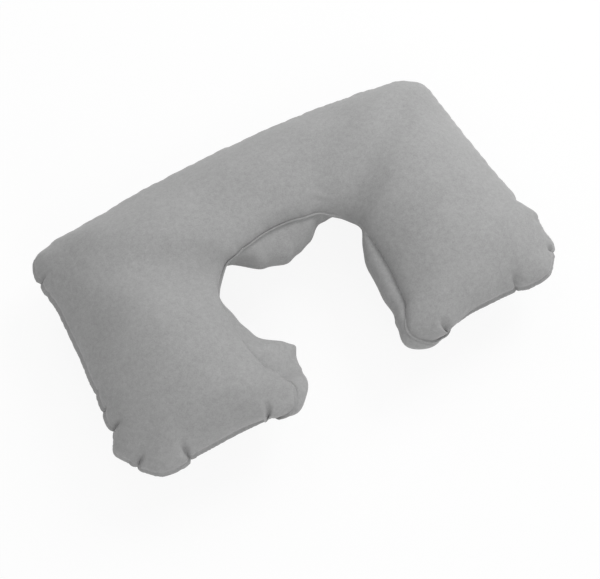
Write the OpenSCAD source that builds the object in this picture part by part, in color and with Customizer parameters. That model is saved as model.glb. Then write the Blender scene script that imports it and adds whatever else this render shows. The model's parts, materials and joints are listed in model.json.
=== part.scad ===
// Inflatable U-shaped neck pillow: two sheets and a neck gusset welded at their margins,
// with a push-in inflation valve under one leg. Millimetres, +Z up, legs towards -Y.

/* [Outline] */
// Width between the outer seams at the leg ends
front_w = 400; // [360:2:430]
// Width between the outer seams at the back
back_w = 386; // [350:2:420]
// Depth between the leg-end seams and the crown of the back seam
depth = 238; // [215:1:255]
// How far the back seam bows out between its corners
back_bow = 12; // [2:1:16]
// Radius of the outer corners at the leg ends
front_corner_r = 23; // [16:1:34]
// Radius of the outer corners at the back
back_corner_r = 28; // [18:1:38]

/* [Neck opening] */
// Widest part of the neck opening, between its seams
neck_w = 140; // [124:1:156]
// Gap between the seams of the two tips
mouth_w = 108; // [96:1:120]
// Depth of the rounded end of the opening
neck_arc_d = 52; // [40:1:64]
// Depth of the back part, from the neck seam to the back seam's crown
back_run = 99; // [84:1:110]
// Radius of each leg's inner tip
tip_r = 13; // [9:1:16]
// How far the opening lies off the middle, towards -X
neck_shift = 6; // [0:0.5:9]
// How far the -X leg's neck seam is drawn out, half way along the leg
leg_out = 4; // [0:0.5:6]
// Distance from a tip to the end of the gusset along the leg end
gusset_end = 28; // [22:1:34]

/* [Inflated height] */
// Rise of each sheet over the legs, above the line between its seams
leg_rise = 37; // [28:0.5:44]
// Rise of each sheet over the back part
back_rise = 27; // [20:0.5:34]
// Half height of the gusset beside the legs
leg_seam_h = 18; // [12:0.5:24]
// Half height of the gusset behind the neck
back_seam_h = 21; // [14:0.5:26]
// Length over which the height builds up from a leg end
end_run = 62; // [45:1:80]
// How far the resting weight flattens the underside
rest_flat = 1.8; // [0.8:0.1:2.4]

/* [Gusset] */
// How far the gusset's lobe beside the -X leg bulges into the neck opening
left_lobe = 34; // [20:0.5:38]
// Distance of that lobe's crest from the gusset's end
left_lobe_at = 48; // [40:1:56]
// Run over which that lobe fades to each side
left_lobe_run = 36; // [24:1:40]
// How far the gusset bulges beside the +X leg
right_lobe = 11.5; // [8:0.5:20]
// How far the gusset's lobe behind the neck bulges
back_lobe = 24; // [16:0.5:28]
// Run over which that lobe rises from a crease
back_lobe_run = 40; // [30:1:48]
// Distance of the -X crease between lobes from the middle of the neck seam
left_crease_at = 67; // [54:1:74]
// How much nearer to that middle the -X crease lies at the lower neck seam
left_crease_lean = 15; // [0:1:20]
// Distance of the +X crease
right_crease_at = 61; // [54:1:74]
// Run over which a crease fades to each side
crease_run = 21; // [14:1:26]
// How far the neck seams are drawn out at a crease
crease_out = 5; // [0:0.5:8]
// How far the neck seams come closer to each other at a crease, each
crease_drop = 8; // [0:0.5:10]
// How much further the lower neck seam is drawn out at a crease
crease_draw = 17; // [0:0.5:20]
// Run over which the gusset opens out from each of its ends
gusset_taper = 28; // [24:1:36]

/* [Skin] */
// Thickness of the sheets with their flock
skin_t = 0.5; // [0.4:0.05:0.8]
// Width of the welded margin round the outside
seam_w = 4.5; // [3:0.25:6]
// How steeply the margin hangs down along the sides and the back
margin_fall = 75; // [40:1:80]
// How steeply it hangs down at the leg ends
end_fall = 5; // [0:1:15]
// Width of the welded fin round the neck opening
fin_w = 3; // [2:0.25:4]
// Angle at which the fin stands up from the horizontal
fin_angle = 45; // [30:1:60]

/* [Valve place] */
// Distance of the valve from the leg end, along the outer seam
valve_from_end = 62; // [50:1:76]
// Distance of the valve's centre inside the outer seam
valve_from_side = 22; // [20:0.5:26]
// Tilt of the valve below the horizontal
valve_tilt = 52; // [46:1:58]
// Radius of the flat weld ground round the valve
valve_ground_r = 21; // [18:0.5:22]

/* [Valve] */
// Radius of the welded flange
flange_r = 12.5; // [11.5:0.25:13.5]
// Thickness of the flange
flange_t = 1.2; // [0.8:0.1:1.6]
// Radius of the opening in the flange
mouth_r = 8.8; // [8.2:0.1:9.4]
// Gap between the hole in the sheet and the bellows
hole_gap = 0.2; // [0.1:0.05:0.4]
// Gap between the sheet's face and the flange welded to it
weld_gap = 0.03; // [0:0.01:0.1]
// Outer radius of the stem
stem_r = 5; // [4.6:0.1:5.4]
// Radius of the stem's bore
bore_r = 3.3; // [3:0.1:3.6]
// Length of the stem
stem_len = 14; // [12:0.5:16]
// How far the pushed-in stem stands out of the flange's face
stem_proud = 1.3; // [1:0.1:2]
// Radius of the lip at the stem's mouth
lip_r = 5.7; // [5.5:0.1:6]
// Height of that lip
lip_h = 1.2; // [1:0.1:1.6]
// Depth of the stem's root below the sheet when it is pushed in
root_depth = 5.5; // [4.5:0.25:6.5]
// Thickness of the bellows between the flange and the stem
bellows_t = 0.5; // [0.4:0.05:0.7]
// Length of the plug's pin
pin_len = 6.5; // [5:0.25:7.5]
// Radial clearance of the pin in the bore
pin_gap = 0.05; // [0.02:0.01:0.09]
// Radius of the plug's head
head_r = 6; // [5.5:0.1:6.5]
// Thickness of the plug's head
head_t = 1.8; // [1.4:0.1:2.2]
// Length of the finger tab on the plug's head
tab_len = 2.5; // [2:0.25:3.5]
// Radius of the non-return flap
flap_r = 4.3; // [4:0.1:4.5]
// Thickness of the flap
flap_t = 0.5; // [0.4:0.05:0.7]
// Width of the tether between the stem and the plug
strap_w = 2.6; // [2:0.1:3.2]
// Thickness of the tether
strap_t = 0.7; // [0.5:0.05:0.9]
// How far the tether's loop stands out from the stem
strap_reach = 5; // [3.5:0.25:7]

/* [Hidden] */

half_rows = 36;      // grid rows from a leg end to the middle of the back
cols = 13;           // grid columns from the neck seam to the outer seam
strips = 6;          // strips across the gusset
corner_share = 0.55; // share of the rows that lie before the middle of the back corner
end_share = 0.42;    // share of the rows that bend towards the leg end
end_power = 2.2;     // how quickly that bend fades out
back_share = 0.3;    // share of the rows over which the leg's rise turns into the back's
edge_crowd = 0.35;   // how strongly the columns crowd towards the seams
end_crowd = 0.45;    // how strongly the rows crowd towards the leg ends
dome_power = 0.75;   // how full the dome is beside its seams
arc_steps = 16;
rows = 2 * half_rows;

function smooth(x) = let (c = min(max(x, 0), 1)) c * c * (3 - 2 * c);
function unit(v) = v / norm(v);
function mix(a, b, k) = a * (1 - k) + b * k;

// ---- plan curves of the right half, y = 0 at the leg-end seam ----

// Round corner at b, between a and c
function corner(a, b, c, r, n = arc_steps) =
    let (u = unit(a - b), v = unit(c - b),
         half = acos(u * v) / 2,
         centre = b + unit(u + v) * r / sin(half),
         p0 = b + u * r / tan(half) - centre,
         p1 = b + v * r / tan(half) - centre,
         a0 = atan2(p0.y, p0.x),
         turn = (atan2(p1.y, p1.x) - a0 + 540) % 360 - 180)
    [for (i = [0:n]) let (s = a0 + turn * i / n) centre + r * [cos(s), sin(s)]];

// A path as two tables, x and y over the share of its length
function tables(p) =
    let (run = [for (i = 0, s = 0; i < len(p);
                     s = i + 1 < len(p) ? s + norm(p[i + 1] - p[i]) : s, i = i + 1) s],
         total = run[len(p) - 1])
    [[for (i = [0:len(p) - 1]) [run[i] / total, p[i].x]],
     [for (i = [0:len(p) - 1]) [run[i] / total, p[i].y]], total];
function at(t, s) = [lookup(s, t[0]), lookup(s, t[1])];

front_pt = [front_w / 2, 0];
back_pt = [back_w / 2, depth - back_bow];
crown_pt = [0, depth];
back_arc = corner(front_pt, back_pt, crown_pt, back_corner_r);
front_arc = corner([0, 0], front_pt, back_pt, front_corner_r);
bow_from = back_arc[arc_steps];
outer_line = concat([front_arc[arc_steps]], back_arc,
    [for (i = [1:arc_steps]) let (x = bow_from.x * (1 - i / arc_steps))
        [x, mix(depth, bow_from.y, pow(x / bow_from.x, 2))]]);
outer_path = tables(outer_line);

neck_r = neck_w / 2;
arc_y = depth - back_run - neck_arc_d;   // where the round end of the opening starts
function neck_side(y) = neck_r - (neck_w - mouth_w) / 2 * pow(1 - y / arc_y, 2);
notch = [mouth_w / 2 + gusset_end, 0];
tip_run = 2.2 * tip_r;                   // where the tip's corner has met the leg's side
tip_arc = corner(notch, [mouth_w / 2, 0], [neck_side(tip_run), tip_run], tip_r);
tip_top = tip_arc[arc_steps].y;
neck_line = concat([notch], tip_arc,
    [for (i = [1:arc_steps]) let (y = mix(tip_top, arc_y, i / arc_steps)) [neck_side(y), y]],
    [for (i = [1:arc_steps]) let (a = 90 * i / arc_steps)
        [neck_r * cos(a), arc_y + neck_arc_d * sin(a)]]);
neck_path = tables(neck_line);
end_path = tables(concat([notch], front_arc));

// Shares of the two paths that face each other at the back corner
function path_share(line, k) =
    let (t = tables(line)) tables([for (i = [0:k]) line[i]])[2] / t[2];
outer_mid = path_share(outer_line, 1 + arc_steps / 2);
neck_mid = path_share(neck_line, 1 + arc_steps * 2.5);
function spread(t, mid) = t < corner_share ? mid * t / corner_share
    : mix(mid, 1, (t - corner_share) / (1 - corner_share));

// ---- the surface, over t (0 leg end to 1 back) and v (0 neck to 1 outer seam) ----

function row_t(i) = let (u = min(i, rows - i) / half_rows) u * (1 - end_crowd * (1 - u));
function side(i) = i <= half_rows ? -1 : 1;
function col_v(j) = let (x = j / cols) x - edge_crowd * sin(360 * x) / (2 * PI);
function neck_at(t) = at(neck_path, spread(t, neck_mid));
function base(t, v) = mix(neck_at(t), at(outer_path, spread(t, outer_mid)), v);
function plan(t, v) = base(t, v)
    + pow(max(1 - t / end_share, 0), end_power) * (at(end_path, v) - base(0, v));

function from_notch(t) = neck_path[2] * spread(t, neck_mid);   // along the neck seam
shift_run = 12;                          // run over which the opening's shift sets in
leg_mid = 58;                            // where the -X leg's neck seam is drawn out most
leg_mid_run = 34;
function fade(x) = exp(-x * x);
// Place of a crease along the neck seam: low = 0 at the upper seam, 1 at the lower
function crease_s(i, low = 0.5) = neck_path[2]
    - (side(i) < 0 ? left_crease_at - low * left_crease_lean : right_crease_at);
function creased(i, low = 0, wide = 1) =
    fade((from_notch(row_t(i)) - crease_s(i, low)) / (wide * crease_run));
function drawn_out(i) = crease_out * creased(i)
    + (side(i) < 0 ? leg_out * fade((from_notch(row_t(i)) - leg_mid) / leg_mid_run) : 0);
fold_h = 3.2 * skin_t;                   // half height of the folded gusset at its ends
function opened(t) = smooth(from_notch(t) / gusset_taper);
function seam_h(t) =
    mix(fold_h, mix(leg_seam_h, back_seam_h, smooth(from_notch(t) / neck_path[2])), opened(t));
function rise(t) = mix(leg_rise, back_rise, smooth((t - corner_share) / back_share));
function height(t, v, drop = 0) =
    let (s = norm(plan(t, v) - plan(0, v)),
         grow = pow(1 - pow(1 - min(s / end_run, 1), 2), dome_power))
    t == 0 ? (v == 0 ? fold_h : 0)
    : (seam_h(t) - drop) * (1 - v) + rise(t) * grow * pow(max(4 * v * (1 - v), 0), dome_power);

full_h = max([for (i = [0:half_rows]) for (j = [0:cols]) height(row_t(i), col_v(j))]);
mid_h = full_h + skin_t - rest_flat;     // height of the seam plane above the floor

// Air-side point of the upper sheet, above the seam plane
function sheet_pt(i, j, more = 0) =
    let (t = row_t(i), v = col_v(j), p = plan(t, v), n = inward(i),
         off = (drawn_out(i) + more) * pow(1 - v, 2),
         aside = neck_shift * pow(1 - v, 1.5) * smooth(from_notch(t) / shift_run))
    [side(i) * p.x - aside - n.x * off, p.y - n.y * off, height(t, v, crease_drop * creased(i))];
function mirrored(p) = [p.x, p.y, -p.z];
// The same point of the lower sheet, whose neck seam is drawn out further
function lower_pt(i, j) = mirrored(sheet_pt(i, j, crease_draw * creased(i, 1, draw_wide)));
draw_wide = 1.3;                         // the lower seam's crease over the upper seam's, in length

// ---- neck seam and gusset ----

// Unit vector from the neck seam into the opening
function inward(i) =
    let (t = row_t(i), d = 0.4 / half_rows,
         u = unit(neck_at(min(t + d, 1)) - neck_at(max(t - d, 0))))
    t == 1 || t == 0 ? [0, -1, 0] : [side(i) * -u.y, u.x, 0];
function tilt_at(i) = fin_angle * opened(row_t(i));
function fin_edge(i, up = 1) =
    let (n = inward(i), w = mix(seam_w, fin_w, opened(row_t(i))), a = tilt_at(i))
    (up > 0 ? sheet_pt(i, 0) : lower_pt(i, 0)) + w * [n.x * cos(a), n.y * cos(a), up * sin(a)];
function fin_normal(i) =
    let (n = inward(i), a = tilt_at(i)) [-n.x * sin(a), -n.y * sin(a), cos(a)];
function bulge(i) =
    let (s = from_notch(row_t(i)), c = crease_s(i))
    smooth(s / gusset_taper * 2)
        * (side(i) < 0 ? left_lobe * fade((s - left_lobe_at) / left_lobe_run)
                       : right_lobe * smooth((c - s) / (2 * crease_run)))
    + back_lobe * smooth((s - c - crease_run / 3) / back_lobe_run);
// Across the gusset: k = -1 and strips + 1 are its fins, 0 and strips its seams
function gusset_pt(i, k) =
    k == -1 ? fin_edge(i) : k == strips + 1 ? fin_edge(i, -1)
    : mix(sheet_pt(i, 0), lower_pt(i, 0), k / strips) + bulge(i) * sin(180 * k / strips) * inward(i);

// ---- origin: middle of the bounding box, on the floor ----

front_y = min([for (i = [0:rows]) gusset_pt(i, strips / 2).y - skin_t]);
mid_y = (min(front_y, -seam_w) + depth + seam_w * cos(margin_fall) + skin_t * sin(margin_fall)) / 2;
module placed() translate([0, -mid_y, mid_h]) children();

// ---- valve place: on the underside of the -X leg, facing out and down ----

ground_end = 1.7 * valve_ground_r;       // where the ground has faded into the dome
ground_off_seam = 5;                     // run over which it fades beside the outer seam
valve_t = corner_share * valve_from_end / (outer_path[2] * outer_mid);
valve_v = 1 - valve_from_side / norm(plan(valve_t, 1) - plan(valve_t, 0));
valve_dir = [-cos(valve_tilt), 0, -sin(valve_tilt)];
valve_pt = let (p = plan(valve_t, valve_v)) [-p.x, p.y, -height(valve_t, valve_v)];
// Draws a point of the underside onto the flat ground round the valve, but not near a seam
function grounded(p, from_seam) =
    let (d = p - valve_pt, off = d * valve_dir,
         r = norm(d - off * valve_dir),
         k = smooth((ground_end - r) / (ground_end - valve_ground_r))
             * smooth(from_seam / ground_off_seam))
    abs(off) > valve_ground_r ? p : p - k * off * valve_dir;
// The underside: the upper sheet mirrored, with the ground for the valve on the -X leg
function under_pt(i, j) = let (p = lower_pt(i, j))
    i >= half_rows || j == 0 || j == cols || i == 0 ? p
    : grounded(p, norm(p - lower_pt(i, cols)));
valve_seat = valve_pt + (skin_t + weld_gap) * valve_dir;
module at_valve() placed() translate(valve_seat) rotate([0, -90 - valve_tilt, 0]) children();

// ---- closed shells over a grid of air-side points ----

// The grid's border, in order
function border(n, m) = concat([for (j = [0:m]) [0, j]], [for (i = [1:n]) [i, m]],
    [for (j = [m - 1:-1:0]) [n, j]], [for (i = [n - 1:-1:1]) [i, 0]]);
function normal_at(g, i, j) = let (n = len(g) - 1, m = len(g[0]) - 1)
    unit(cross(g[min(i + 1, n)][j] - g[max(i - 1, 0)][j],
               g[i][min(j + 1, m)] - g[i][max(j - 1, 0)]));
function flat(rows) = [for (r = rows) each r];
function above(p, z) = [p.x, p.y, max(p.z, z)];

// air and outer: the two faces, as grids. margin and margin_outer: points beside the border
// that widen it by a welded margin. turned: the outer face lies against the grid's normal.
module shell(air, outer, margin = [], margin_outer = [], turned = false) {
    n = len(air) - 1;
    m = len(air[0]) - 1;
    ring = border(n, m);
    nr = len(ring);
    count = (n + 1) * (m + 1);
    rim = len(margin) > 0 ? [for (k = [0:nr - 1]) 2 * count + k]
        : [for (p = ring) p[0] * (m + 1) + p[1]];
    step = len(margin) > 0 ? nr : count;
    faces = concat(
        [for (i = [0:n - 1]) for (j = [0:m - 1]) let (a = i * (m + 1) + j)
            each [[a, a + 1, a + m + 2], [a, a + m + 2, a + m + 1],
                  [count + a, count + a + m + 2, count + a + 1],
                  [count + a, count + a + m + 1, count + a + m + 2]]],
        [if (len(margin) > 0) for (k = [0:nr - 1])
            let (q = (k + 1) % nr, a = ring[k][0] * (m + 1) + ring[k][1],
                 b = ring[q][0] * (m + 1) + ring[q][1], c = rim[k], d = rim[q])
            each [[b, a, c], [b, c, d], [count + a, count + b, c + step],
                  [count + b, d + step, c + step]]],
        [for (k = [0:nr - 1]) let (c = rim[k], d = rim[(k + 1) % nr])
            each [[c, c + step, d], [d, c + step, d + step]]]);
    polyhedron(concat(flat(air), flat(outer), margin, margin_outer),
        turned ? faces : [for (f = faces) [f[2], f[1], f[0]]], convexity = 10);
}

// ---- sheets ----

ring = border(rows, cols);
fall_from = 105;                         // run of the outer seam over which the margin's fall
fall_to = 155;                           // grows, from the gusset's end
function outer_run(i, j) = i == 0 || i == rows ? col_v(j) * end_path[2]
    : end_path[2] + outer_path[2] * spread(row_t(i), outer_mid);
function fall(i, j) =
    mix(end_fall, margin_fall, smooth((outer_run(i, j) - fall_from) / (fall_to - fall_from)));
function margin_out(k) =
    let (nr = len(ring), a = ring[(k + 1) % nr], b = ring[(k + nr - 1) % nr],
         d = sheet_pt(a[0], a[1]) - sheet_pt(b[0], b[1]))
    unit([-d.y, d.x]);
// Edge of the weld margin at a border vertex: up the fin at the neck, hanging down elsewhere
function margin_pt(k, up) =
    let (i = ring[k][0], j = ring[k][1], out = margin_out(k), a = fall(i, j))
    j == 0 ? fin_edge(i, up)
    : sheet_pt(i, j) + seam_w * [out.x * cos(a), out.y * cos(a), -sin(a)];
function margin_normal(k, up) =
    let (i = ring[k][0], j = ring[k][1], out = margin_out(k), a = fall(i, j))
    j == 0 ? (up > 0 ? fin_normal(i) : mirrored(fin_normal(i)))
    : up * [out.x * sin(a), out.y * sin(a), cos(a)];

module sheet(upper) {
    z = upper ? 1 : -1;
    thinnest = 0.5;                      // share of the skin's thickness left where it meets its margin
    air = [for (i = [0:rows]) [for (j = [0:cols]) upper ? sheet_pt(i, j) : under_pt(i, j)]];
    normals = [for (k = [0:len(ring) - 1]) margin_normal(k, z)];
    margin = [for (k = [0:len(ring) - 1]) margin_pt(k, z)];
    outer = [for (i = [0:rows]) [for (j = [0:cols])
        let (own = z * normal_at(air, i, j),
             k = [for (k = [0:len(ring) - 1]) if (ring[k] == [i, j]) k],
             half = unit(own + (len(k) > 0 ? normals[k[0]] : own)),
             dir = half / max(half * own, thinnest))
        above(air[i][j] + skin_t * dir, -mid_h)]];
    shell([for (r = air) [for (p = r) above(p, skin_t - mid_h)]], outer, margin,
        [for (k = [0:len(ring) - 1]) margin[k] + skin_t * normals[k]], turned = !upper);
}
module top_sheet() color("darkgray") placed() sheet(true);
module bottom_sheet() color("darkgray") difference() {
    placed() sheet(false);
    at_valve() cylinder(r = mouth_r + hole_gap, h = 6, center = true, $fn = 48);
}
module neck_gusset() color("gray") placed() {
    air = [for (i = [0:rows]) [for (k = [-1:strips + 1]) gusset_pt(i, k)]];
    shell(air, [for (i = [0:rows]) [for (k = [0:strips + 2])
        air[i][k] - skin_t * normal_at(air, i, k)]], turned = true);
}

// ---- valve, along the local Z axis, 0 at the sheet's outer face ----

$fn = 48;
edge = 0.3;                              // small chamfers on the stem and the pin
root_half = 0.6;                         // half height of the bellows' weld to the stem
stem_top = flange_t + stem_proud;
stem_in = stem_top - stem_len;
pin_end = stem_top - pin_len;
pin_r = bore_r - pin_gap;
hinge_x = flap_r + 0.5;
module valve_flange() color("gainsboro") at_valve() rotate_extrude()
    polygon([[mouth_r, 0], [flange_r, 0], [flange_r, flange_t / 3],
             [flange_r - 2 * edge, 0.75 * flange_t], [mouth_r + flange_t, flange_t],
             [mouth_r, flange_t]]);
module valve_bellows() color("gainsboro") at_valve() {
    root_r = stem_r + pin_gap;
    top = 0.8 * flange_t;
    rotate_extrude() polygon([[mouth_r, top], [mouth_r, -edge],
        [root_r + bellows_t, -root_depth - root_half], [root_r, -root_depth - root_half],
        [root_r, -root_depth + root_half], [mouth_r - bellows_t, edge], [mouth_r - bellows_t, top]]);
}
module valve_stem() color("gainsboro") at_valve() rotate_extrude()
    polygon([[bore_r, stem_in], [stem_r - edge, stem_in], [stem_r, stem_in + edge],
             [stem_r, stem_top - lip_h - edge], [lip_r, stem_top - lip_h], [lip_r, stem_top],
             [bore_r, stem_top]]);
module valve_flap() color("whitesmoke") at_valve() translate([0, 0, stem_in - flap_t]) {
    cylinder(r = flap_r, h = flap_t);
    translate([0, -flap_r / 2, 0]) cube([hinge_x, flap_r, flap_t]);
}
module valve_plug() color("gainsboro") at_valve() {
    rotate_extrude() polygon([[0, pin_end], [pin_r - edge, pin_end], [pin_r, pin_end + 2 * edge],
        [pin_r, stem_top], [head_r, stem_top], [head_r, stem_top + 0.7 * head_t],
        [head_r - 0.3 * head_t, stem_top + head_t], [0, stem_top + head_t]]);
    translate([-strap_w / 2, -head_r - tab_len, stem_top + 0.2 * head_t])
        cube([strap_w, tab_len + 1, 0.5 * head_t]);
}
// A strip that leaves the lip, turns back on itself and ends at the plug's head
module valve_strap() color("gainsboro") at_valve() {
    low = stem_top - lip_h / 2;
    high = stem_top + head_t / 2;
    loop_r = (high - low) / 2;
    start = lip_r - edge;
    bend = head_r + strap_reach - loop_r;
    rotate([90, 0, 90]) linear_extrude(strap_w, center = true) difference() {
        union() {
            translate([start, low - strap_t / 2]) square([bend - start, 2 * loop_r + strap_t]);
            translate([bend, low + loop_r]) circle(r = loop_r + strap_t / 2);
        }
        translate([start - 1, low + strap_t / 2]) square([bend - start + 1, 2 * loop_r - strap_t]);
        translate([bend, low + loop_r]) circle(r = loop_r - strap_t / 2);
        translate([start - 1, high - strap_t]) square([head_r + pin_gap - start + 1, 2 * strap_t]);
    }
}

top_sheet();
bottom_sheet();
neck_gusset();
valve_flange();
valve_bellows();
valve_stem();
valve_flap();
valve_plug();
valve_strap();
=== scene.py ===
"""Inflatable flocked neck pillow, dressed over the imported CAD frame."""
import json
import math

import bpy
import numpy as np
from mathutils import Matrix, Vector


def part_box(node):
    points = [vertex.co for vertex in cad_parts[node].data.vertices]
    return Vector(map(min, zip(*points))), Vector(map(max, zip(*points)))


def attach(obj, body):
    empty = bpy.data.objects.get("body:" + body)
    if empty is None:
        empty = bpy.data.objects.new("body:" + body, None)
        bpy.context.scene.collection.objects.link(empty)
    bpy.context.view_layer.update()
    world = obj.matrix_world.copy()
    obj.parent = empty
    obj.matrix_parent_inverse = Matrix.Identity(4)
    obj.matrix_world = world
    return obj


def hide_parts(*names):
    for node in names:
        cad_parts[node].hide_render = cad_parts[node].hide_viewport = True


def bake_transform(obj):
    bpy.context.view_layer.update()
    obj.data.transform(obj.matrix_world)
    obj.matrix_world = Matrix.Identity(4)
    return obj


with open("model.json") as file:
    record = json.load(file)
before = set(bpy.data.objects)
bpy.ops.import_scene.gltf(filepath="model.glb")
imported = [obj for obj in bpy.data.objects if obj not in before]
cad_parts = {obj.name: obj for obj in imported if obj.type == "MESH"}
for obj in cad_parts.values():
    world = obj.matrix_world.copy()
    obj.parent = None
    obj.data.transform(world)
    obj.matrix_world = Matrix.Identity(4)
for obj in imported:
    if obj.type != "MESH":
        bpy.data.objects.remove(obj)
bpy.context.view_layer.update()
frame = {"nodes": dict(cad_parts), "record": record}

MM = 0.001

# ---------------------------------------------------------------- sizes of the pillow, mm
FRONT_W, BACK_W, DEPTH, BACK_BOW = 396, 382, 233, 8      # outer seam: widths, depth, bow of the back
FRONT_R, BACK_R = 26, 28                                 # its corners
NECK_W, MOUTH_W = 140, 108                               # neck seam: width, and width at the leg tips
NECK_ARC, BACK_RUN = 52, 94                              # depth of its arc, and of the back behind it
TIP_R, TIP_RUN = 13, 2.2                                 # its corner at the tips, and its run in radii
GUSSET_END, GUSSET_TAPER = 28, 28                        # how far the gusset runs round the tip, and opens
LEG_RISE, BACK_RISE, END_RUN = 37, 27, 62                # crown over the seams, and its run from the leg ends
LEG_SEAM, BACK_SEAM = 18, 21                             # half the gusset's height
SKIN, SEAM_W, FIN_W = 0.5, 4.5, 3.0                      # thickness, width of the margin and of the neck fins
FOLD = 3.2 * SKIN                                        # half height of the folded gusset at its ends

# how the grids are laid out: steps in a corner, rows in each half, columns, strips across the gusset
ARC, HALF, COLS, STRIPS = 48, 190, 120, 24
MARGIN_STEPS, FIN_STEPS = 3, 2                           # steps across the margin and the fins
EDGE_STEPS, BATCH = 1200, 4000                           # steps along the outline; points done at a time
ROW_CROWD, CROWD = 0.45, 0.35    # rows stand closer at the leg ends, columns at the seams
CORNER_SHARE = 0.55              # the share of the rows in the leg, up to the corner's middle
END_SHARE, END_POWER = 0.42, 2.2                  # how rows turn from the leg's end into the leg
BACK_SHARE, RIGHT_SHARE = 0.3, 0.2                # how the crown falls to the back's, left and right
FULL = 0.75                                       # how full the crown is
BLUR, BULGE_BLUR, DRAW_BLUR, WAY_BLUR, LOBE_BLUR = 9, 15, 21, 31, 61     # rows that a value is eased over
NECK_SHIFT, SHIFT_RUN, SHIFT_POWER = -6.0, 12, 1.5       # the neck seam lies a little towards -X

# Places along the outer seam of the left (-1) and right (1) half, from the gusset's end, mm:
# how far the seam stands out from its plain curve
OUTSET = {-1: [(0, -1.7), (30, -2), (68, -1), (82, 2.8), (97, 2.9), (110, 1.1), (123, 1.6), (136, 8.6),
               (149, 3.4), (158, 3.2), (190, 0.8), (230, -0.7), (270, -0.7), (297, 3.2), (306, 5),
               (318, 6.2), (334, 0), (350, -1.8), (380, -1), (430, 2.2), (480, 2.7), (511, 3.2)],
          1: [(0, 3.5), (25, 1.3), (50, 2), (67, 2.9), (80, 6.4), (96, 6.5), (110, 3.7), (120, 4.5),
              (133, 3.1), (148, 7), (165, 1.3), (200, 0), (240, -0.2), (280, -0.1), (310, 0.5),
              (330, -2.4), (350, -3), (380, 0.5), (430, 2.5), (480, 3), (511, 2.2)]}
OUTSET_FADE = 30             # how far in from the seam that is felt
# the creases: place, half width, length inward, depth, pull
CREASES = {-1: [(4.2, 1.1, 8, 1, 0.8), (75.5, 1.6, 13, 1, 4.4), (118, 1.6, 12, 1, 4),
                (153, 2.4, 12, 0.8, 3.4), (171, 2.4, 9, 0.6, 2.2), (188, 2.2, 8, 0.45, 1.4),
                (288, 2.2, 8, 0.4, 1), (302, 2.6, 12, 0.8, 3.2)],
           1: [(0.5, 1.4, 8, 1, 2), (68.6, 1.5, 10, 1, 3), (115.7, 1.5, 9, 1, 3.4),
               (143, 2.8, 10, 0.5, 1.2), (168, 2.8, 10, 0.4, 0.8)]}
CREASE_SPREAD = 0.12         # how fast a crease widens inward
AHEAD = 0.002                # the share of the outline to each side that gives a crease its direction
UNDER_VALLEY = 0.8           # depth of the under sheet's creases against the top sheet's
# the small puckers between them: first place, last and distance apart, then the ranges that each one's
# place, half width, length inward, depth and pull are drawn from
PUCKERS, PUCKER_SEED = (165, 500, 9.5), 7
PUCKER_RANGES = ((-3, 3), (1.6, 2.6), (7, 13), (0.05, 0.2), (0.05, 0.5))
# tilt of the outer weld margin, degrees, and the share of its width that is left
TILTS = {-1: [(0, -32), (78, -36), (97, -40), (118, -45), (133, -65), (152, -60), (166, -42), (300, -42),
              (318, -45), (340, -60), (380, -80), (511, -80)],
         1: [(0, -32), (70, -32), (114, -32), (135, -40), (150, -55), (175, -75), (511, -80)]}
WIDTHS = dict.fromkeys((-1, 1), [(0, 0.7), (105, 0.7), (150, 1), (511, 1)])
# how far the top sheet stands out over its outer seam
OVER_OUT = dict.fromkeys((-1, 1), [(0, 2.4), (150, 2.4), (170, 3), (511, 3)])
END_REACH, SIDE_REACH, SIDE_START, SIDE_EASE = 3, 5, 150, 20  # how far in it is fullest; where that changes
UNDER_SHARE = 0.85           # how much less of it the under sheet has, which leaves the margin free

# Places along the neck seam, from the gusset's end, mm: how far that seam stands out from its plain curve
SEAM_OUT = {-1: [(0, -2), (7, -7), (15, -11), (23, -6), (32, 3), (45, 8), (60, 8.5), (80, 7.5), (100, 5.5),
                 (119, 5), (150, 4.5), (165, 0), (180, -2), (203, -1.8)],
            1: [(0, 0), (7, -6.7), (14, -11), (22, -11), (31, -1), (42, 1.6), (60, 0.5), (112, -0.9),
                (128, 4.2), (142, 6.4), (156, 4.6), (176, -0.8), (203, -1.8)]}
# the seam's dips at the corners of the opening, and the valleys that run up from them: place, width, share
NECK_CREASE, CREASE_DROP = {-1: (132, 20, 1), 1: (141, 18, 1)}, 8.0
DOME_CREASE = {-1: (132, 20, 0.12), 1: (152, 24, 0.2)}
# how far the sheets stand over the neck seam
OVER_NECK = {-1: [(0, 2), (24, 3), (36, 7), (115, 7), (150, 3), (170, 1), (203, 0.5)],
             1: [(0, 2), (40, 2), (60, 1.5), (140, 1.5), (160, 0.5), (203, 0.5)]}
OVER_V, UNDER_NECK = 0.05, 0.3   # the share of the way out where that is fullest; the under sheet's share
# tilt of the fins round the neck opening, degrees
FIN_TILTS = {-1: [(0, 0), (26, -10), (45, -25), (110, -25), (130, -10), (155, 40), (203, 45)],
             1: [(0, 10), (20, 10), (34, -40), (135, -40), (160, 30), (203, 45)]}
# how far the lower seam is drawn back
DRAW = {-1: [(0, 1.4), (10, 8.5), (20, 9), (32, 3.5), (48, -7), (95, 4), (118, 0), (138, 12), (156, 19),
             (176, 10), (203, 0)],
        1: [(0, 1), (14, 6.5), (28, 5), (42, 1), (60, -1), (100, -1), (126, 12), (144, 17), (158, 12),
            (172, 3), (186, 0), (203, 0)]}
# how far the gusset bulges into the opening
BULGE = {-1: [(0, 0), (10, 1.1), (22, 12.6), (30, 24.5), (38, 31.9), (48, 39.8), (60, 36), (85, 21),
              (108, 14.2), (128, 4.3), (149, -0.8), (160, 5.1), (180, 22.3), (203, 25.1)],
         1: [(0, 0), (10, 4), (22, 7.9), (38, 10.2), (60, 13.2), (90, 13.1), (112, 8), (124, 1.3), (142, 0),
             (158, 6.5), (172, 15), (186, 20.8), (203, 25.3)]}
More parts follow.
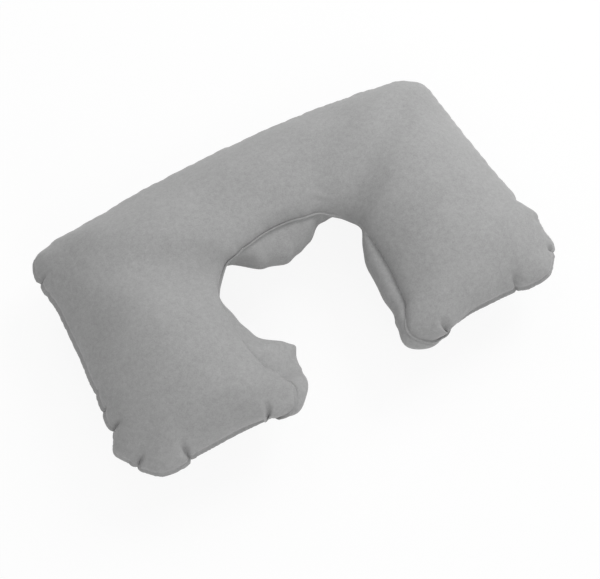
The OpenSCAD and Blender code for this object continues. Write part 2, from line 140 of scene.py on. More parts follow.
# where it bulges most: below 1 nearer the upper seam, above 1 nearer the lower
LEAN = {-1: [(0, 0.8), (20, 0.75), (27, 0.8), (38, 2.2), (46, 2), (66, 1.2), (100, 1.2), (130, 1), (203, 1)],
        1: [(0, 0.7), (30, 0.7), (50, 0.6), (120, 0.6), (150, 0.9), (203, 1)]}
LOBE_POWER = 0.75            # how full a lobe is across

# the part's own depth and the fall of its margin, which say where its middle lies
PART_DEPTH, PART_FALL = 238, math.radians(75)

# the valve's sizes, the same as the part's
VALVE_TILT, GROUND_R, WELD_GAP, HINGE_SIDE, HINGE_UP = math.radians(52), 21, 0.03, 4.8, 11.5
FLANGE_T, MOUTH_R, HOLE_GAP, STEM_R, PIN_GAP = 1.2, 8.8, 0.2, 5.0, 0.05
STEM_TOP, LIP_R, LIP_H, ROOT_DEPTH, ROOT_HALF, BELLOWS_T = 2.5, 5.7, 1.2, 5.5, 0.6, 0.5
HEAD_R, HEAD_T, STRAP_W, STRAP_T, STRAP_REACH = 6.0, 1.8, 2.6, 0.7, 5.0
# the valve in this scene: the film's top and start under the flange, and its ripple; how far the tether
# starts inside the lip, runs straight, and ends on the head; and how square its section is
FILM_TOP, FILM_START, RIPPLE = 0.8, 0.3, 0.25
STRAP_IN, STRAP_OUT, STRAP_END, STRAP_HOLD, STRAP_SQUARE = 0.3, 1.2, 1.4, 0.02, 0.4
# steps along the film and round it, round the tether's bend and its section
FILM_STEPS, LATHE_STEPS, TURN_STEPS, SECTION_STEPS = 15, 72, 13, 20
# the flat ground round it: its full size against GROUND_R, and how far from the under sheet's seam it starts
GROUND_EDGE, GROUND_FREE = 1.7, 5
PRESS_SOFT = 0.6             # how softly the underside meets the surface that it lies on
SAME, JOIN = 0.01, 0.02      # points this near are one: in the cloth, and in the finished pieces


# ---------------------------------------------------------------- outline curves
def unit(v):
    return v / np.maximum(np.linalg.norm(v, axis=-1, keepdims=True), 1e-9)


def smooth(x):
    x = np.clip(x, 0, 1)
    return x * x * (3 - 2 * x)


def corner(a, b, c, r):
    """Round corner at b, between a and c."""
    a, b, c = (np.array(p, float) for p in (a, b, c))
    u, v = unit(a - b), unit(c - b)
    half = math.acos(u @ v) / 2
    centre = b + unit(u + v) * r / math.sin(half)
    p0, p1 = b + u * r / math.tan(half) - centre, b + v * r / math.tan(half) - centre
    a0 = math.atan2(p0[1], p0[0])
    turn = (math.atan2(p1[1], p1[0]) - a0 + 3 * math.pi) % (2 * math.pi) - math.pi
    return [centre + r * np.array((math.cos(s), math.sin(s))) for s in a0 + turn * np.linspace(0, 1, ARC + 1)]


def table(line):
    """A path as its share of length, its points and its length."""
    p = np.array(line, float)
    run = np.r_[0, np.cumsum(np.linalg.norm(np.diff(p, axis=0), axis=1))]
    return run / run[-1], p, run[-1]


def at(path, share):
    """The points at shares of a path's length."""
    return np.stack([np.interp(share, path[0], path[1][:, k]) for k in (0, 1)], -1)


def neck_side(y):
    """Half the neck opening's width at a leg, y from its tip."""
    return NECK_W / 2 - (NECK_W - MOUTH_W) / 2 * (1 - y / ARC_Y) ** 2


front_pt, back_pt, crown_pt = (FRONT_W / 2, 0), (BACK_W / 2, DEPTH - BACK_BOW), (0, DEPTH)
back_arc = corner(front_pt, back_pt, crown_pt, BACK_R)
front_arc = corner((0, 0), front_pt, back_pt, FRONT_R)
bow = back_arc[-1]
outer_line = [front_arc[-1]] + back_arc + [
    (bow[0] * k, DEPTH + (bow[1] - DEPTH) * k ** 2) for k in np.linspace(1, 0, ARC + 1)[1:]]
ARC_Y = DEPTH - BACK_RUN - NECK_ARC
notch = (MOUTH_W / 2 + GUSSET_END, 0)
tip_run = TIP_RUN * TIP_R
tip_arc = corner(notch, (MOUTH_W / 2, 0), (neck_side(tip_run), tip_run), TIP_R)
leg_line = [(neck_side(y), y) for y in np.linspace(tip_arc[-1][1], ARC_Y, ARC + 1)[1:]]
neck_arc = [(NECK_W / 2 * math.cos(a), ARC_Y + NECK_ARC * math.sin(a))
            for a in np.linspace(0, math.pi / 2, ARC + 1)[1:]]
neck_line = [notch] + tip_arc + leg_line + neck_arc
outer_path, neck_path = table(outer_line), table(neck_line)
end_path = table([notch] + front_arc)
edge_path = table([notch] + front_arc + outer_line[1:])
outer_mid = table(outer_line[:2 + ARC // 2])[2] / outer_path[2]
neck_mid = table(neck_line[:2 + ARC * 5 // 2])[2] / neck_path[2]


# ---------------------------------------------------------------- the bag, as grids of points
def spread(t, mid):
    """Share along a path for row t, with `mid` of the path at the corner's row."""
    return np.where(t < CORNER_SHARE, mid * t / CORNER_SHARE,
                    mid + (1 - mid) * (t - CORNER_SHARE) / (1 - CORNER_SHARE))


def along(tables, side, place):
    """A value given at places along each half's seam, eased from one to the next, at those of the points."""
    found = []
    for s in (-1, 1):
        x, y = np.array(tables[s], float).T
        k = np.clip(np.searchsorted(x, place, side="right") - 1, 0, len(x) - 2)
        found.append(y[k] + (y[k + 1] - y[k]) * smooth((place - x[k]) / (x[k + 1] - x[k])))
    return np.where(side < 0, *found)


def blur(a, n=BLUR):
    """A row of values eased over n of them."""
    k = np.hanning(n)
    return np.convolve(np.r_[[a[0]] * (n // 2), a, [a[-1]] * (n // 2)], k / k.sum(), "valid")


def eased(ways, n):
    """Directions in plan, eased over n rows."""
    return unit(np.stack([blur(ways[:, k], n) for k in (0, 1)], 1))


def dip(tables, side, place):
    """How much of a dip there is at places along the neck seam, from its middle, width and share."""
    found = [share * np.exp(-((place - mid) / wide) ** 2) for mid, wide, share in (tables[-1], tables[1])]
    return blur(np.where(side < 0, *found))


rows = 2 * HALF
i = np.arange(rows + 1)
t = np.where(i <= HALF, i, rows - i) / HALF
t = t * (1 - ROW_CROWD) + ROW_CROWD * t ** 2
side = np.where(i <= HALF, -1, 1)
v = np.arange(COLS + 1) / COLS
v = v - CROWD * np.sin(2 * math.pi * v) / (2 * math.pi)
T, V = np.meshgrid(t, v, indexing="ij")
S = np.broadcast_to(side[:, None], T.shape)


def base(T, V):
    """The plain plan of a sheet, straight across from the neck seam to the outer one."""
    inner, outer = at(neck_path, spread(T, neck_mid)), at(outer_path, spread(T, outer_mid))
    return inner * (1 - V)[..., None] + outer * V[..., None]


end_row = at(end_path, V)
plan = base(T, V) + (np.maximum(1 - T / END_SHARE, 0) ** END_POWER)[..., None] * (end_row - base(0 * T, V))
neck_s = neck_path[2] * spread(T, neck_mid)
opened = smooth(neck_s / GUSSET_TAPER)
seam_h = FOLD + (LEG_SEAM + (BACK_SEAM - LEG_SEAM) * smooth(neck_s / neck_path[2]) - FOLD) * opened
fall = np.where(S < 0, BACK_SHARE, RIGHT_SHARE)
rise = LEG_RISE + (BACK_RISE - LEG_RISE) * smooth((T - CORNER_SHARE) / fall)
from_end = np.linalg.norm(plan - end_row, axis=-1)
grow = (1 - (1 - np.minimum(from_end / END_RUN, 1)) ** 2) ** FULL
dome = rise * grow * np.maximum(4 * V * (1 - V), 0) ** FULL

# nearest place on the outer seam, for the lobes and creases beside it
edge_s = np.linspace(0, edge_path[2], EDGE_STEPS)
edge = at(edge_path, edge_s / edge_path[2])
edge_dir = unit(np.gradient(edge, axis=0))
flat = plan.reshape(-1, 2)
nearest = np.concatenate([np.linalg.norm(flat[a:a + BATCH, None] - edge[None], axis=2).argmin(1)
                          for a in range(0, len(flat), BATCH)])
near = edge_s[nearest].reshape(T.shape)
inset = np.linalg.norm(flat - edge[nearest], axis=1).reshape(T.shape)
out = np.stack([edge_dir[nearest, 1], -edge_dir[nearest, 0]], -1).reshape(T.shape + (2,))
reach = inset / (END_REACH + (SIDE_REACH - END_REACH) * smooth((near - SIDE_START) / SIDE_EASE))
over_out = along(OVER_OUT, S, near) * reach * np.exp(1 - reach)
push = along(OUTSET, S, near) * smooth(1 - inset / OUTSET_FADE) + over_out
push_xy = out * push[..., None]
valley = np.zeros(T.shape)
rng = np.random.default_rng(PUCKER_SEED)
for s in (-1, 1):
    puckers = []
    for p in np.arange(*PUCKERS):
        drawn = [rng.uniform(*r) for r in PUCKER_RANGES]
        puckers.append([p + drawn[0]] + drawn[1:])
    for place, wide, length, deep, pull in CREASES[s] + puckers:
        foot = at(edge_path, place / edge_path[2])
        way = at(edge_path, place / edge_path[2] + AHEAD) - at(edge_path, place / edge_path[2] - AHEAD)
        way /= np.linalg.norm(way)
        outward = np.array([way[1], -way[0]])
        rel = plan - foot
        depth_in, aside = -(rel @ outward), rel @ way
        apart = aside / (wide + CREASE_SPREAD * np.maximum(depth_in, 0))
        e = (S == s) * np.exp(-apart ** 2) * smooth(1 - depth_in / length)
        push_xy -= outward * (pull * e)[..., None]
        valley = 1 - (1 - valley) * (1 - deep * e)
X = (plan[..., 0] + push_xy[..., 0]) * S + NECK_SHIFT * (1 - V) ** SHIFT_POWER * smooth(neck_s / SHIFT_RUN)
Y = plan[..., 1] + push_xy[..., 1]

# the neck seam's own bends
s0 = neck_s[:, 0]
seam = at(neck_path, s0 / neck_path[2])
seam_way = np.gradient(seam[:HALF + 1], axis=0)
seam_way[HALF] = (-1, 0)
seam_way = unit(np.concatenate([seam_way, seam_way[HALF - 1::-1]]))
seam_push = blur(along(SEAM_OUT, side, s0))[:, None] * (1 - V) ** 2
X = X + (side * seam_way[:, 1])[:, None] * seam_push
Y = Y - seam_way[:, :1] * seam_push

crease, fold = dip(NECK_CREASE, side, s0), dip(DOME_CREASE, side, s0)
bulge, draw = blur(along(BULGE, side, s0), BULGE_BLUR), blur(along(DRAW, side, s0), DRAW_BLUR)
seam_part = (seam_h - CREASE_DROP * crease[:, None]) * (1 - V)
top_z = (seam_part + dome * (1 - fold[:, None] * (1 - V))) * (1 - valley)
low_z = -(seam_part + dome) * (1 - UNDER_VALLEY * valley)
for z, h in ((top_z, FOLD), (low_z, -FOLD)):
    z[[0, -1]] = 0
    z[[0, -1], 0] = h
upper = np.stack([X, Y, top_z], -1)
lower = np.stack([X, Y, low_z], -1)
lower[..., :2] -= UNDER_SHARE * over_out[..., None] * out * np.stack([S, np.ones(S.shape)], -1)
seam_dir = unit(np.gradient(upper[:, 0, :2], axis=0))
inward = np.stack([seam_dir[:, 1], -seam_dir[:, 0]], 1)      # from the neck seam into the opening
inward *= -np.sign(inward[HALF, 1])
inward = eased(inward, WAY_BLUR)
over = (blur(along(OVER_NECK, side, s0)) * opened[:, 0])[:, None] * V / OVER_V * np.exp(1 - V / OVER_V)
upper[..., :2] += inward[:, None] * over[..., None]
lower[..., :2] += UNDER_NECK * inward[:, None] * over[..., None]
lower[..., :2] -= inward[:, None] * (draw[:, None] * (1 - V) ** 2)[..., None]

# flat ground round the valve, and the underside pressed flat where it rests
margin_x, margin_z = SEAM_W * math.cos(PART_FALL), SEAM_W * math.sin(PART_FALL)
origin_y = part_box("top_sheet")[1].y / MM - PART_DEPTH - margin_x - SKIN * math.sin(PART_FALL)
origin_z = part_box("top_sheet")[0].z / MM + margin_z
origin = np.array([0, origin_y, origin_z])
valve_dir = np.array([-math.cos(VALVE_TILT), 0, -math.sin(VALVE_TILT)])
valve_side = np.array([-math.sin(VALVE_TILT), 0, math.cos(VALVE_TILT)])   # local X of the valve
joints = {j["name"]: j for j in frame["record"]["behaviour"]["joints"]}
hinge = np.array(joints["flap_hinge"]["pos_m"]) / MM
valve_seat = hinge - HINGE_SIDE * valve_side + HINGE_UP * valve_dir
valve_pt = valve_seat - (SKIN + WELD_GAP) * valve_dir - origin


def pressed(z):
    """Heights with the surface that the pillow lies on as their lowest."""
    rest = SKIN - origin_z
    return rest + (z - rest + np.sqrt((z - rest) ** 2 + PRESS_SOFT ** 2)) / 2


def grounded(p, spare):
    """Points brought into the valve's plane near it; `spare` is how far each is from the outer seam."""
    off = (p - valve_pt) @ valve_dir
    r = np.linalg.norm(p - valve_pt - off[..., None] * valve_dir, axis=-1)
    k = smooth((GROUND_EDGE * GROUND_R - r) / ((GROUND_EDGE - 1) * GROUND_R))
    k = k * smooth(spare / GROUND_FREE) * (np.abs(off) < GROUND_R)
    return p - (k * off)[..., None] * valve_dir


lower[..., 2] = pressed(lower[..., 2])
spare = np.linalg.norm(lower - lower[:, -1:], axis=-1)
spare[0] = spare[-1] = 0
lower = np.where((S < 0)[..., None] & (V > 0)[..., None], grounded(lower, spare), lower)
across = np.linspace(0, 1, STRIPS + 1)[None, :, None]
gusset = upper[:, :1] * (1 - across) + lower[:, :1] * across
lean = blur(along(LEAN, side, s0))[:, None]
swell = bulge[:, None] * np.sin(math.pi * across[..., 0] ** lean) ** LOBE_POWER
gusset[..., :2] += eased(inward, LOBE_BLUR)[:, None] * swell[..., None]

# the weld margins: outside, and the two fins round the neck opening
ring = [(0, j) for j in range(COLS + 1)] + [(k, COLS) for k in range(1, rows + 1)] + [
    (rows, j) for j in range(COLS - 1, -1, -1)]
ri, rj = np.array(ring).T
rim = upper[ri, rj]
rim_dir = unit(np.gradient(rim[:, :2], axis=0))
rim_out = np.stack([-rim_dir[:, 1], rim_dir[:, 0]], 1)
rim_out *= np.sign(rim_out[len(rim_out) // 2, 1])
tilt = np.radians(along(TILTS, side[ri], near[ri, rj]))
wide = SEAM_W * along(WIDTHS, side[ri], near[ri, rj])[:, None]
margin_way = np.c_[rim_out * np.cos(tilt)[:, None], np.sin(tilt)]
margin = np.stack([rim + k * wide / MARGIN_STEPS * margin_way for k in range(MARGIN_STEPS + 1)], 1)
fin_tilt = np.radians(blur(along(FIN_TILTS, side, s0)))


def fin(edge_row, up):
    """A fin along a neck seam, turned up or down from the opening's middle."""
    fin_way = np.c_[inward * np.cos(fin_tilt)[:, None], up * np.sin(fin_tilt)]
    return np.stack([edge_row + k * FIN_W / FIN_STEPS * fin_way for k in range(FIN_STEPS + 1)], 1)


upper_fin, lower_fin = fin(upper[:, 0], 1), fin(lower[:, 0], -1)


# ---------------------------------------------------------------- meshes from grids
def grid_quads(idx, flip=False):
    """The quads between the neighbours in a grid of point numbers."""
    quads = np.stack([idx[:-1, :-1], idx[1:, :-1], idx[1:, 1:], idx[:-1, 1:]], -1).reshape(-1, 4)
    return quads[:, ::-1] if flip else quads


def mesh_object(name, points, faces):
    """A linked object of these points, m, and faces."""
    me = bpy.data.meshes.new(name)
    me.from_pydata(points.tolist(), [], faces)
    me.update()
    ob = bpy.data.objects.new(name, me)
    bpy.context.scene.collection.objects.link(ob)
    return ob


# ---------------------------------------------------------------- cloth: air pressure on the joined sheets
# the most that a point moves, mm; frames; how much larger the cloth is cut; and its step in rows and columns
CLOTH_CAP, CLOTH_FRAMES, CLOTH_EASE, CLOTH_STEP = 3.5, 14, 0.012, 2


def one_bag(grids, flips):
    """Grids joined where they touch: the points, which of them each grid point is, and the faces."""
    flat = np.concatenate([g.reshape(-1, 3) for g in grids])
    keys = np.round(flat / SAME).astype(np.int64)
    first, member = np.unique(keys, axis=0, return_index=True, return_inverse=True)[1:]
    member = member.reshape(-1)
    quads, n0 = [], 0
    for g, flip in zip(grids, flips):
        n, m = g.shape[:2]
        quads.append(grid_quads(member[n0:n0 + n * m].reshape(n, m), flip))
        n0 += n * m
    faces = []
    for q in np.concatenate(quads).tolist():
        f = [a for k, a in enumerate(q) if a != q[k - 1]]
        if len(set(f)) == len(f) and len(f) > 2:
            faces.append(f)
    return flat[first], member, faces


def held_points(grids, member, count):
    """1 for the points that stay in place: the seams, and the flat ground round the valve."""
    hold = [np.zeros(g.shape[:2]) for g in grids]
    for h in hold:
        h[[0, -1]] = 1
        h[:, [0, -1]] = 1
    off = grids[1] - valve_pt
    ground = np.linalg.norm(off - (off @ valve_dir)[..., None] * valve_dir, axis=-1) < GROUND_R
    hold[1] = np.maximum(hold[1], ground & (np.abs(off @ valve_dir) < GROUND_R))
    held = np.zeros(count)
    np.maximum.at(held, member, np.concatenate([h.reshape(-1) for h in hold]))
    return held


def blown(start, faces, held):
    """How far air pressure moves each point of the bag, capped."""
    ob = mesh_object("bag", start * MM, faces)
    ob.shape_key_add(name="Basis")
    rest = ob.shape_key_add(name="rest")
    middle = start.mean(0)
    rest.data.foreach_set("co", ((middle + (start - middle) * (1 + CLOTH_EASE)) * MM).ravel())
    rest.value = 0
    pins = ob.vertex_groups.new(name="pins")
    pins.add([int(k) for k in np.flatnonzero(held)], 1.0, "REPLACE")
    cloth = ob.modifiers.new("cloth", "CLOTH")
    c = cloth.settings
    c.quality, c.mass, c.air_damping = 5, 0.3, 1
    c.tension_stiffness = c.compression_stiffness = 60
    c.shear_stiffness, c.bending_stiffness = 20, 0.3
    c.tension_damping = c.compression_damping = c.shear_damping = 5
    c.use_pressure, c.uniform_pressure_force = True, 4.0
    c.effector_weights.gravity = 0
    c.vertex_group_mass = "pins"
    c.rest_shape_key = rest
    cloth.collision_settings.use_collision = False
    cloth.point_cache.frame_start, cloth.point_cache.frame_end = 1, CLOTH_FRAMES
    scene = bpy.context.scene
    for f in range(1, CLOTH_FRAMES + 1):
        scene.frame_set(f)
    got = ob.evaluated_get(bpy.context.evaluated_depsgraph_get())
    co = np.empty(3 * len(start))
    got.data.vertices.foreach_get("co", co)
    move = co.reshape(-1, 3) / MM - start
    scene.frame_set(1)
    bpy.data.objects.remove(ob)
    size = np.linalg.norm(move, axis=1, keepdims=True)
    return move * (CLOTH_CAP * np.tanh(size / CLOTH_CAP) / np.maximum(size, 1e-6))


def refined(d, shape):
    """Moves on the coarse grid, spread over the fine one and softened inside its border."""
    for axis in (0, 1):
        place = np.arange(shape[axis]) / CLOTH_STEP
        low = np.minimum(place.astype(int), d.shape[axis] - 2)
        part = (place - low).reshape((-1, 1, 1) if axis == 0 else (1, -1, 1))
        d = np.take(d, low, axis) * (1 - part) + np.take(d, low + 1, axis) * part
    inner = np.pad(d, ((1, 1), (1, 1), (0, 0)), mode="edge")
    soft = sum(inner[a:a + d.shape[0], b:b + d.shape[1]] for a in range(3) for b in range(3)) / 9
    d[1:-1, 1:-1] = soft[1:-1, 1:-1]
    return d


def inflated(whole, flips):
    """The two sheets and the gusset, blown up as one closed cloth."""
    grids = [g[::CLOTH_STEP, ::CLOTH_STEP] for g in whole]
    start, member, faces = one_bag(grids, flips)
    move = blown(start, faces, held_points(grids, member, len(start)))[member]
    ends = np.cumsum([g.shape[0] * g.shape[1] for g in grids])[:-1]
    return [full + refined(m.reshape(g.shape), full.shape)
            for m, g, full in zip(np.split(move, ends), grids, whole)]


upper, lower, gusset = inflated([upper, lower, gusset], [False, True, True])
lower[..., 2] = np.maximum(lower[..., 2], SKIN - origin_z)


# ---------------------------------------------------------------- the three skins
def pierced(points, quads):
    """The sheet with its round hole under the valve."""
    off = (points - valve_pt) @ valve_dir
    spoke = points - valve_pt - off[:, None] * valve_dir
    r = np.linalg.norm(spoke, axis=1)
    inside = (r < MOUTH_R + HOLE_GAP) & (np.abs(off) < MOUTH_R)
    quads = quads[~inside[quads].all(1)]
    used = np.unique(quads)
    rim = used[inside[used]]
    points[rim] += spoke[rim] * ((MOUTH_R + HOLE_GAP) / r[rim] - 1)[:, None]
    again = np.zeros(len(points), int)
    again[used] = np.arange(len(used))
    return points[used], again[quads]


def shell(name, grids, flips, hole=False):
    """Grids of points, mm, joined where they touch and thickened along their normals, as one object."""
    verts, faces, n0 = [], [], 0
    for g, flip in zip(grids, flips):
        n, m = g.shape[:2]
        faces.append(grid_quads(n0 + np.arange(n * m).reshape(n, m), flip))
        verts.append(g.reshape(-1, 3))
        n0 += n * m
    points, quads = np.concatenate(verts), np.concatenate(faces)
    if hole:
        points, quads = pierced(points, quads)
    ob = mesh_object(name, (points + origin) * MM, quads.tolist())
    weld = ob.modifiers.new("weld", "WELD")
    weld.merge_threshold = JOIN * MM
    solid = ob.modifiers.new("solid", "SOLIDIFY")
    solid.thickness = SKIN * MM
    solid.offset = 1
    apply_modifiers(ob)
    ob.data.polygons.foreach_set("use_smooth", [True] * len(ob.data.polygons))
    return ob


def apply_modifiers(ob):
    """Leave the object with the mesh that its modifiers give."""
    dg = bpy.context.evaluated_depsgraph_get()
    me = bpy.data.meshes.new_from_object(ob.evaluated_get(dg), depsgraph=dg)
    ob.modifiers.clear()
    old, ob.data = ob.data, me
    bpy.data.meshes.remove(old)


top_skin = shell("top_skin", [upper, margin, upper_fin], [False, False, True])
bottom_skin = shell("bottom_skin", [lower, margin, lower_fin], [True, True, False], hole=True)
neck_strip = shell("neck_strip", [gusset, upper_fin, lower_fin], [True, False, True])


# ---------------------------------------------------------------- valve pieces
def local(points):
    """From the valve's own axes, mm, to the frame's, m."""
    p = np.asarray(points, float)
    moved = valve_seat + p[..., :1] * valve_side + p[..., 1:2] * np.array([0, 1, 0]) + p[..., 2:] * valve_dir
    return moved * MM


def grid_piece(name, g, ring=True):
    """A closed piece over a grid of points, m: its rows are rings, which form a ring or a capped tube."""
    n, m = g.shape[:2]
    idx = np.arange(n * m).reshape(n, m)
    around = np.concatenate([idx, idx[:, :1]], 1)
    quads = grid_quads(np.concatenate([around, around[:1]]) if ring else around).tolist()
    if not ring:
        quads += [idx[0].tolist(), idx[-1][::-1].tolist()]
    ob = mesh_object(name, g.reshape(-1, 3), quads)
    ob.data.polygons.foreach_set("use_smooth", [True] * len(ob.data.polygons))
    return ob


def lathe(name, profile):
    """An outline in the valve's own radius and height, mm, turned about its axis."""
    p = np.array(profile, float)
    a = np.linspace(0, 2 * math.pi, LATHE_STEPS, endpoint=False)
    g = np.stack([p[None, :, 0] * np.cos(a)[:, None], p[None, :, 0] * np.sin(a)[:, None],
                  np.broadcast_to(p[None, :, 1], (LATHE_STEPS, len(p)))], -1)
    return grid_piece(name, local(g))


def offset_path(line, half):
    """The closed outline of a strip along a path, half its thickness to each side."""
    p = np.array(line, float)
    way = unit(np.gradient(p, axis=0))
    n = np.stack([-way[:, 1], way[:, 0]], 1)
    return np.concatenate([p + half * n, (p - half * n)[::-1]])


# the bellows: a thin film, turned in on itself between the flange and the stem's root
film_r = MOUTH_R - BELLOWS_T / 2
film_in = MOUTH_R - STEM_R - PIN_GAP - BELLOWS_T
film = [(film_r, FILM_TOP * FLANGE_T), (film_r, FILM_START)] + [
    (film_r - film_in * smooth(u) + RIPPLE * math.sin(4 * math.pi * u), -ROOT_DEPTH * u)
    for u in np.linspace(0, 1, FILM_STEPS)[1:]] + [
    (STEM_R + PIN_GAP + BELLOWS_T / 2, -ROOT_DEPTH - ROOT_HALF)]
bellows = lathe("bellows_film", offset_path(film, BELLOWS_T / 2))

# the tether: a strip from the lip, turned back on itself, to the plug's head
low, high = STEM_TOP - LIP_H / 2, STEM_TOP + HEAD_T / 2
loop_r = (high - low) / 2
bend_at = HEAD_R + STRAP_REACH - loop_r
turn = np.linspace(-math.pi / 2, math.pi / 2, TURN_STEPS)
way = np.array([(LIP_R - STRAP_IN, low), (LIP_R + STRAP_OUT, low)] + [
    (bend_at + loop_r * math.cos(a), low + loop_r + loop_r * math.sin(a)) for a in turn] + [
    (HEAD_R + STRAP_END, high), (HEAD_R - STRAP_HOLD, high)])
d = unit(np.gradient(way, axis=0))
normal = np.stack([-d[:, 1], d[:, 0]], 1)
a = np.linspace(0, 2 * math.pi, SECTION_STEPS, endpoint=False)
wide = STRAP_W / 2 * np.sign(np.cos(a)) * np.abs(np.cos(a)) ** STRAP_SQUARE
thick = STRAP_T / 2 * np.sign(np.sin(a)) * np.abs(np.sin(a)) ** STRAP_SQUARE
strip = np.stack([np.broadcast_to(wide, (len(way), len(a))), way[:, :1] + normal[:, :1] * thick,
                  way[:, 1:] + normal[:, 1:] * thick], -1)
tether = grid_piece("tether", local(strip), ring=False)


# ---------------------------------------------------------------- materials
# the sheets' grey, and the gusset's lighter copy of it: painted light that brightens the opening's walls,
# which the lamps leave in shade
GREY, GUSSET_PAINTED_LIGHT = 0.36, 1.02
# noise: scale, detail, roughness
GRAIN = (900, 3, 0.7)        # the flock's speckle, about a millimetre
TUFT = (260, 2, 0.6)         # small clumps of pile
MOTTLE = (26, 3, 0.5)        # brushed patches
FLOCK_SHARES = (0.5, 0.3, 0.2)                           # how much each of the three counts in the colour
CLOUD = (120, 3, 0.5)        # the vinyl's milky patches
FINE = (1500, 2, 0.5)        # its fine texture


def material(name):
    """A new material with its node tree and its shader."""
    m = bpy.data.materials.new(name)
    m.use_nodes = True
    return m, m.node_tree, m.node_tree.nodes["Principled BSDF"]


def noise(tree, vec, kind):
    """Noise of a scale, detail and roughness, in the object's own coordinates."""
    n = tree.nodes.new("ShaderNodeTexNoise")
    for name, value in zip(("Scale", "Detail", "Roughness"), kind):
        n.inputs[name].default_value = value
    tree.links.new(vec, n.inputs["Vector"])
    return n.outputs["Fac"]


def math_node(tree, op, a, b):
    """A sum, product or larger value of two sockets or numbers."""
    n = tree.nodes.new("ShaderNodeMath")
    n.operation = op
    for k, x in enumerate((a, b)):
        if isinstance(x, (int, float)):
            n.inputs[k].default_value = x
        else:
            tree.links.new(x, n.inputs[k])
    return n.outputs[0]


def ramp(tree, fac, stops):
    """A colour from a value, by stops of place and colour."""
    n = tree.nodes.new("ShaderNodeValToRGB")
    tree.links.new(fac, n.inputs["Fac"])
    el = n.color_ramp.elements
    while len(el) < len(stops):
        el.new(0.5)
    for e, (pos, c) in zip(el, stops):
        e.position, e.color = pos, (c[0], c[1], c[2], 1)
    return n.outputs["Color"]


def bump_node(tree, height, strength, distance, normal=None):
    """A bump of a distance, m, over another one if there is one."""
    n = tree.nodes.new("ShaderNodeBump")
    n.inputs["Strength"].default_value = strength
    n.inputs["Distance"].default_value = distance
    tree.links.new(height, n.inputs["Height"])
    if normal is not None:
        tree.links.new(normal, n.inputs["Normal"])
    return n.outputs["Normal"]


def rough_map(tree, fac, bsdf, low, high):
    """Roughness between low and high, by a value."""
    n = tree.nodes.new("ShaderNodeMapRange")
    tree.links.new(fac, n.inputs["Value"])
    n.inputs["To Min"].default_value, n.inputs["To Max"].default_value = low, high
    tree.links.new(n.outputs["Result"], bsdf.inputs["Roughness"])


def flock(name, grey):
    """Short brushed pile on the sheet."""
    m, tree, b = material(name)
    co = tree.nodes.new("ShaderNodeTexCoord").outputs["Object"]
    grain, tuft, mottle = (noise(tree, co, kind) for kind in (GRAIN, TUFT, MOTTLE))
    parts = [math_node(tree, "MULTIPLY", fac, share)
             for fac, share in zip((grain, tuft, mottle), FLOCK_SHARES)]
    mix = math_node(tree, "ADD", parts[0], math_node(tree, "ADD", parts[1], parts[2]))
    col = ramp(tree, mix, [(0.3, [0.80 * grey] * 3), (0.5, [grey] * 3), (0.7, [1.2 * grey] * 3)])
    tree.links.new(col, b.inputs["Base Color"])
    b.inputs["Sheen Weight"].default_value = 0.25
    b.inputs["Sheen Roughness"].default_value = 0.45
    b.inputs["Specular IOR Level"].default_value = 0.15
    rough_map(tree, tuft, b, 0.82, 0.98)
    clump_bump = bump_node(tree, tuft, 0.25, 0.0006)
    tree.links.new(bump_node(tree, grain, 0.3, 0.0003, clump_bump), b.inputs["Normal"])
    return m


def vinyl(name, colour, rough, clear):
    """Soft moulded vinyl, slightly milky."""
    m, tree, b = material(name)
    co = tree.nodes.new("ShaderNodeTexCoord").outputs["Object"]
    cloud, fine = (noise(tree, co, kind) for kind in (CLOUD, FINE))
    col = ramp(tree, cloud, [(0.3, [0.93 * c for c in colour]), (0.7, [min(1, 1.05 * c) for c in colour])])
    tree.links.new(col, b.inputs["Base Color"])
    rough_map(tree, fine, b, rough, rough + 0.12)
    b.inputs["Transmission Weight"].default_value = clear
    b.inputs["IOR"].default_value = 1.5
    tree.links.new(bump_node(tree, fine, 0.12, 0.0002), b.inputs["Normal"])
    return m


def paint(ob, mat):
    ob.data.materials.clear()
    ob.data.materials.append(mat)


sheet_flock = flock("flock_sheet", GREY)
# the gusset's flock, painted lighter to stand in for light on the walls of the neck opening
gusset_flock = flock("flock_gusset", GREY * GUSSET_PAINTED_LIGHT)
valve_vinyl = vinyl("valve_vinyl", (0.70, 0.71, 0.73), 0.28, 0.15)
valve_film = vinyl("valve_film", (0.76, 0.77, 0.79), 0.3, 0.1)
for ob in (top_skin, bottom_skin):
    paint(ob, sheet_flock)
paint(neck_strip, gusset_flock)
for node, mat in (("valve_flange", valve_vinyl), ("valve_stem", valve_vinyl), ("valve_plug", valve_vinyl),
                  ("valve_flap", valve_film)):
    paint(frame["nodes"][node], mat)
paint(bellows, valve_film)
paint(tether, valve_vinyl)

# ---------------------------------------------------------------- bodies
for ob, node in ((top_skin, "top_sheet"), (bottom_skin, "bottom_sheet"), (neck_strip, "neck_gusset")):
    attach(ob, "bladder")
    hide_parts(node)
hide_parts("valve_bellows")
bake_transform(bellows)
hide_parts("valve_strap")
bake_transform(tether)

# ---------------------------------------------------------------- floor, light, camera
# the floor's colour, how white the seen floor is, and the world's light on the object
FLOOR_GREY, FLOOR_GLOW, AMBIENT = 0.93, 0.9, 0.45
# the lamps: place and size, m, and power, W; and where they point
LIGHTS = (("key", (1.3, 0.5, 1.3), 0.9, 17), ("back_light", (0.2, 1.4, 1.4), 0.9, 5.2),
          ("fill", (-0.3, -1.5, 1.2), 1.2, 9.4))
LIGHT_AIM = (0, 0, 0.05)
# the camera: direction, distance, m; what it looks at, mm behind the front seam; its lens, in pixels of an
# image PHOTO_W wide; and its shift
AZ, EL, FAR, AIM_Y = math.radians(-29.29), math.radians(62.8), 1.051, 116.5
LENS_PX, PHOTO_W, SENSOR, SHIFT = 1228.9, 600, 36, (0.0157, -0.0568)


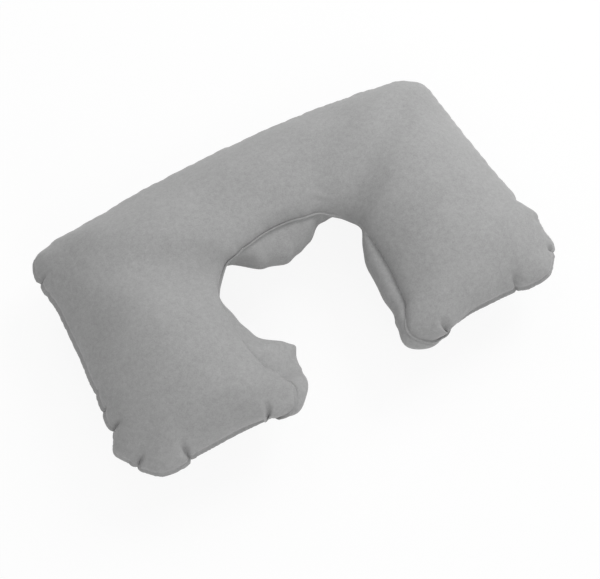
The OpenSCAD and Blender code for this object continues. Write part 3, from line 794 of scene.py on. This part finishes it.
def background_seen(tree):
    """1 for the rays that should meet a white background: the camera's, reflected and refracted ones."""
    rays = tree.nodes.new("ShaderNodeLightPath").outputs
    bent = math_node(tree, "MAXIMUM", rays["Is Glossy Ray"], rays["Is Transmission Ray"])
    return math_node(tree, "MAXIMUM", rays["Is Camera Ray"], bent)


bpy.ops.mesh.primitive_plane_add(size=6, location=(0, 0, 0))
floor = bpy.context.object
floor.name = "floor"
fm, ft, fb = material("floor_white")
fb.inputs["Base Color"].default_value = (FLOOR_GREY, FLOOR_GREY, FLOOR_GREY, 1)
fb.inputs["Roughness"].default_value = 0.9
fb.inputs["Specular IOR Level"].default_value = 0.0
white = ft.nodes.new("ShaderNodeEmission")
white.inputs["Strength"].default_value = 1.0
mixer = ft.nodes.new("ShaderNodeMixShader")
ft.links.new(math_node(ft, "MULTIPLY", background_seen(ft), FLOOR_GLOW), mixer.inputs["Fac"])
ft.links.new(fb.outputs["BSDF"], mixer.inputs[1])
ft.links.new(white.outputs["Emission"], mixer.inputs[2])
ft.links.new(mixer.outputs["Shader"], ft.nodes["Material Output"].inputs["Surface"])
floor.data.materials.append(fm)

world = bpy.data.worlds.new("studio")
bpy.context.scene.world = world
world.use_nodes = True
wt = world.node_tree
bg = wt.nodes["Background"]
extra = math_node(wt, "MULTIPLY", background_seen(wt), 1 - AMBIENT)
wt.links.new(math_node(wt, "ADD", AMBIENT, extra), bg.inputs["Strength"])
bg.inputs["Color"].default_value = (1, 1, 1, 1)


def aimed(name, data, place, way):
    """A lamp or camera at a place, looking along a direction."""
    ob = bpy.data.objects.new(name, data)
    bpy.context.scene.collection.objects.link(ob)
    ob.location = place
    ob.rotation_mode = "QUATERNION"
    ob.rotation_quaternion = way.to_track_quat("-Z", "Y")
    return ob


for name, place, size, power in LIGHTS:
    light = bpy.data.lights.new(name, "AREA")
    light.size, light.energy = size, power
    aimed(name, light, place, Vector(LIGHT_AIM) - Vector(place))

cam_data = bpy.data.cameras.new("camera")
target = Vector((0, (origin_y + AIM_Y) * MM, origin_z * MM))
back = Vector((math.sin(AZ) * math.cos(EL), -math.cos(AZ) * math.cos(EL), math.sin(EL)))
cam = aimed("camera", cam_data, target + back * FAR, -back)
cam_data.sensor_width = SENSOR
cam_data.lens = LENS_PX * SENSOR / PHOTO_W
cam_data.shift_x, cam_data.shift_y = SHIFT
cam_data.clip_start, cam_data.clip_end = 0.01, 20
bpy.context.scene.camera = cam
bpy.context.scene.view_settings.view_transform = "Standard"
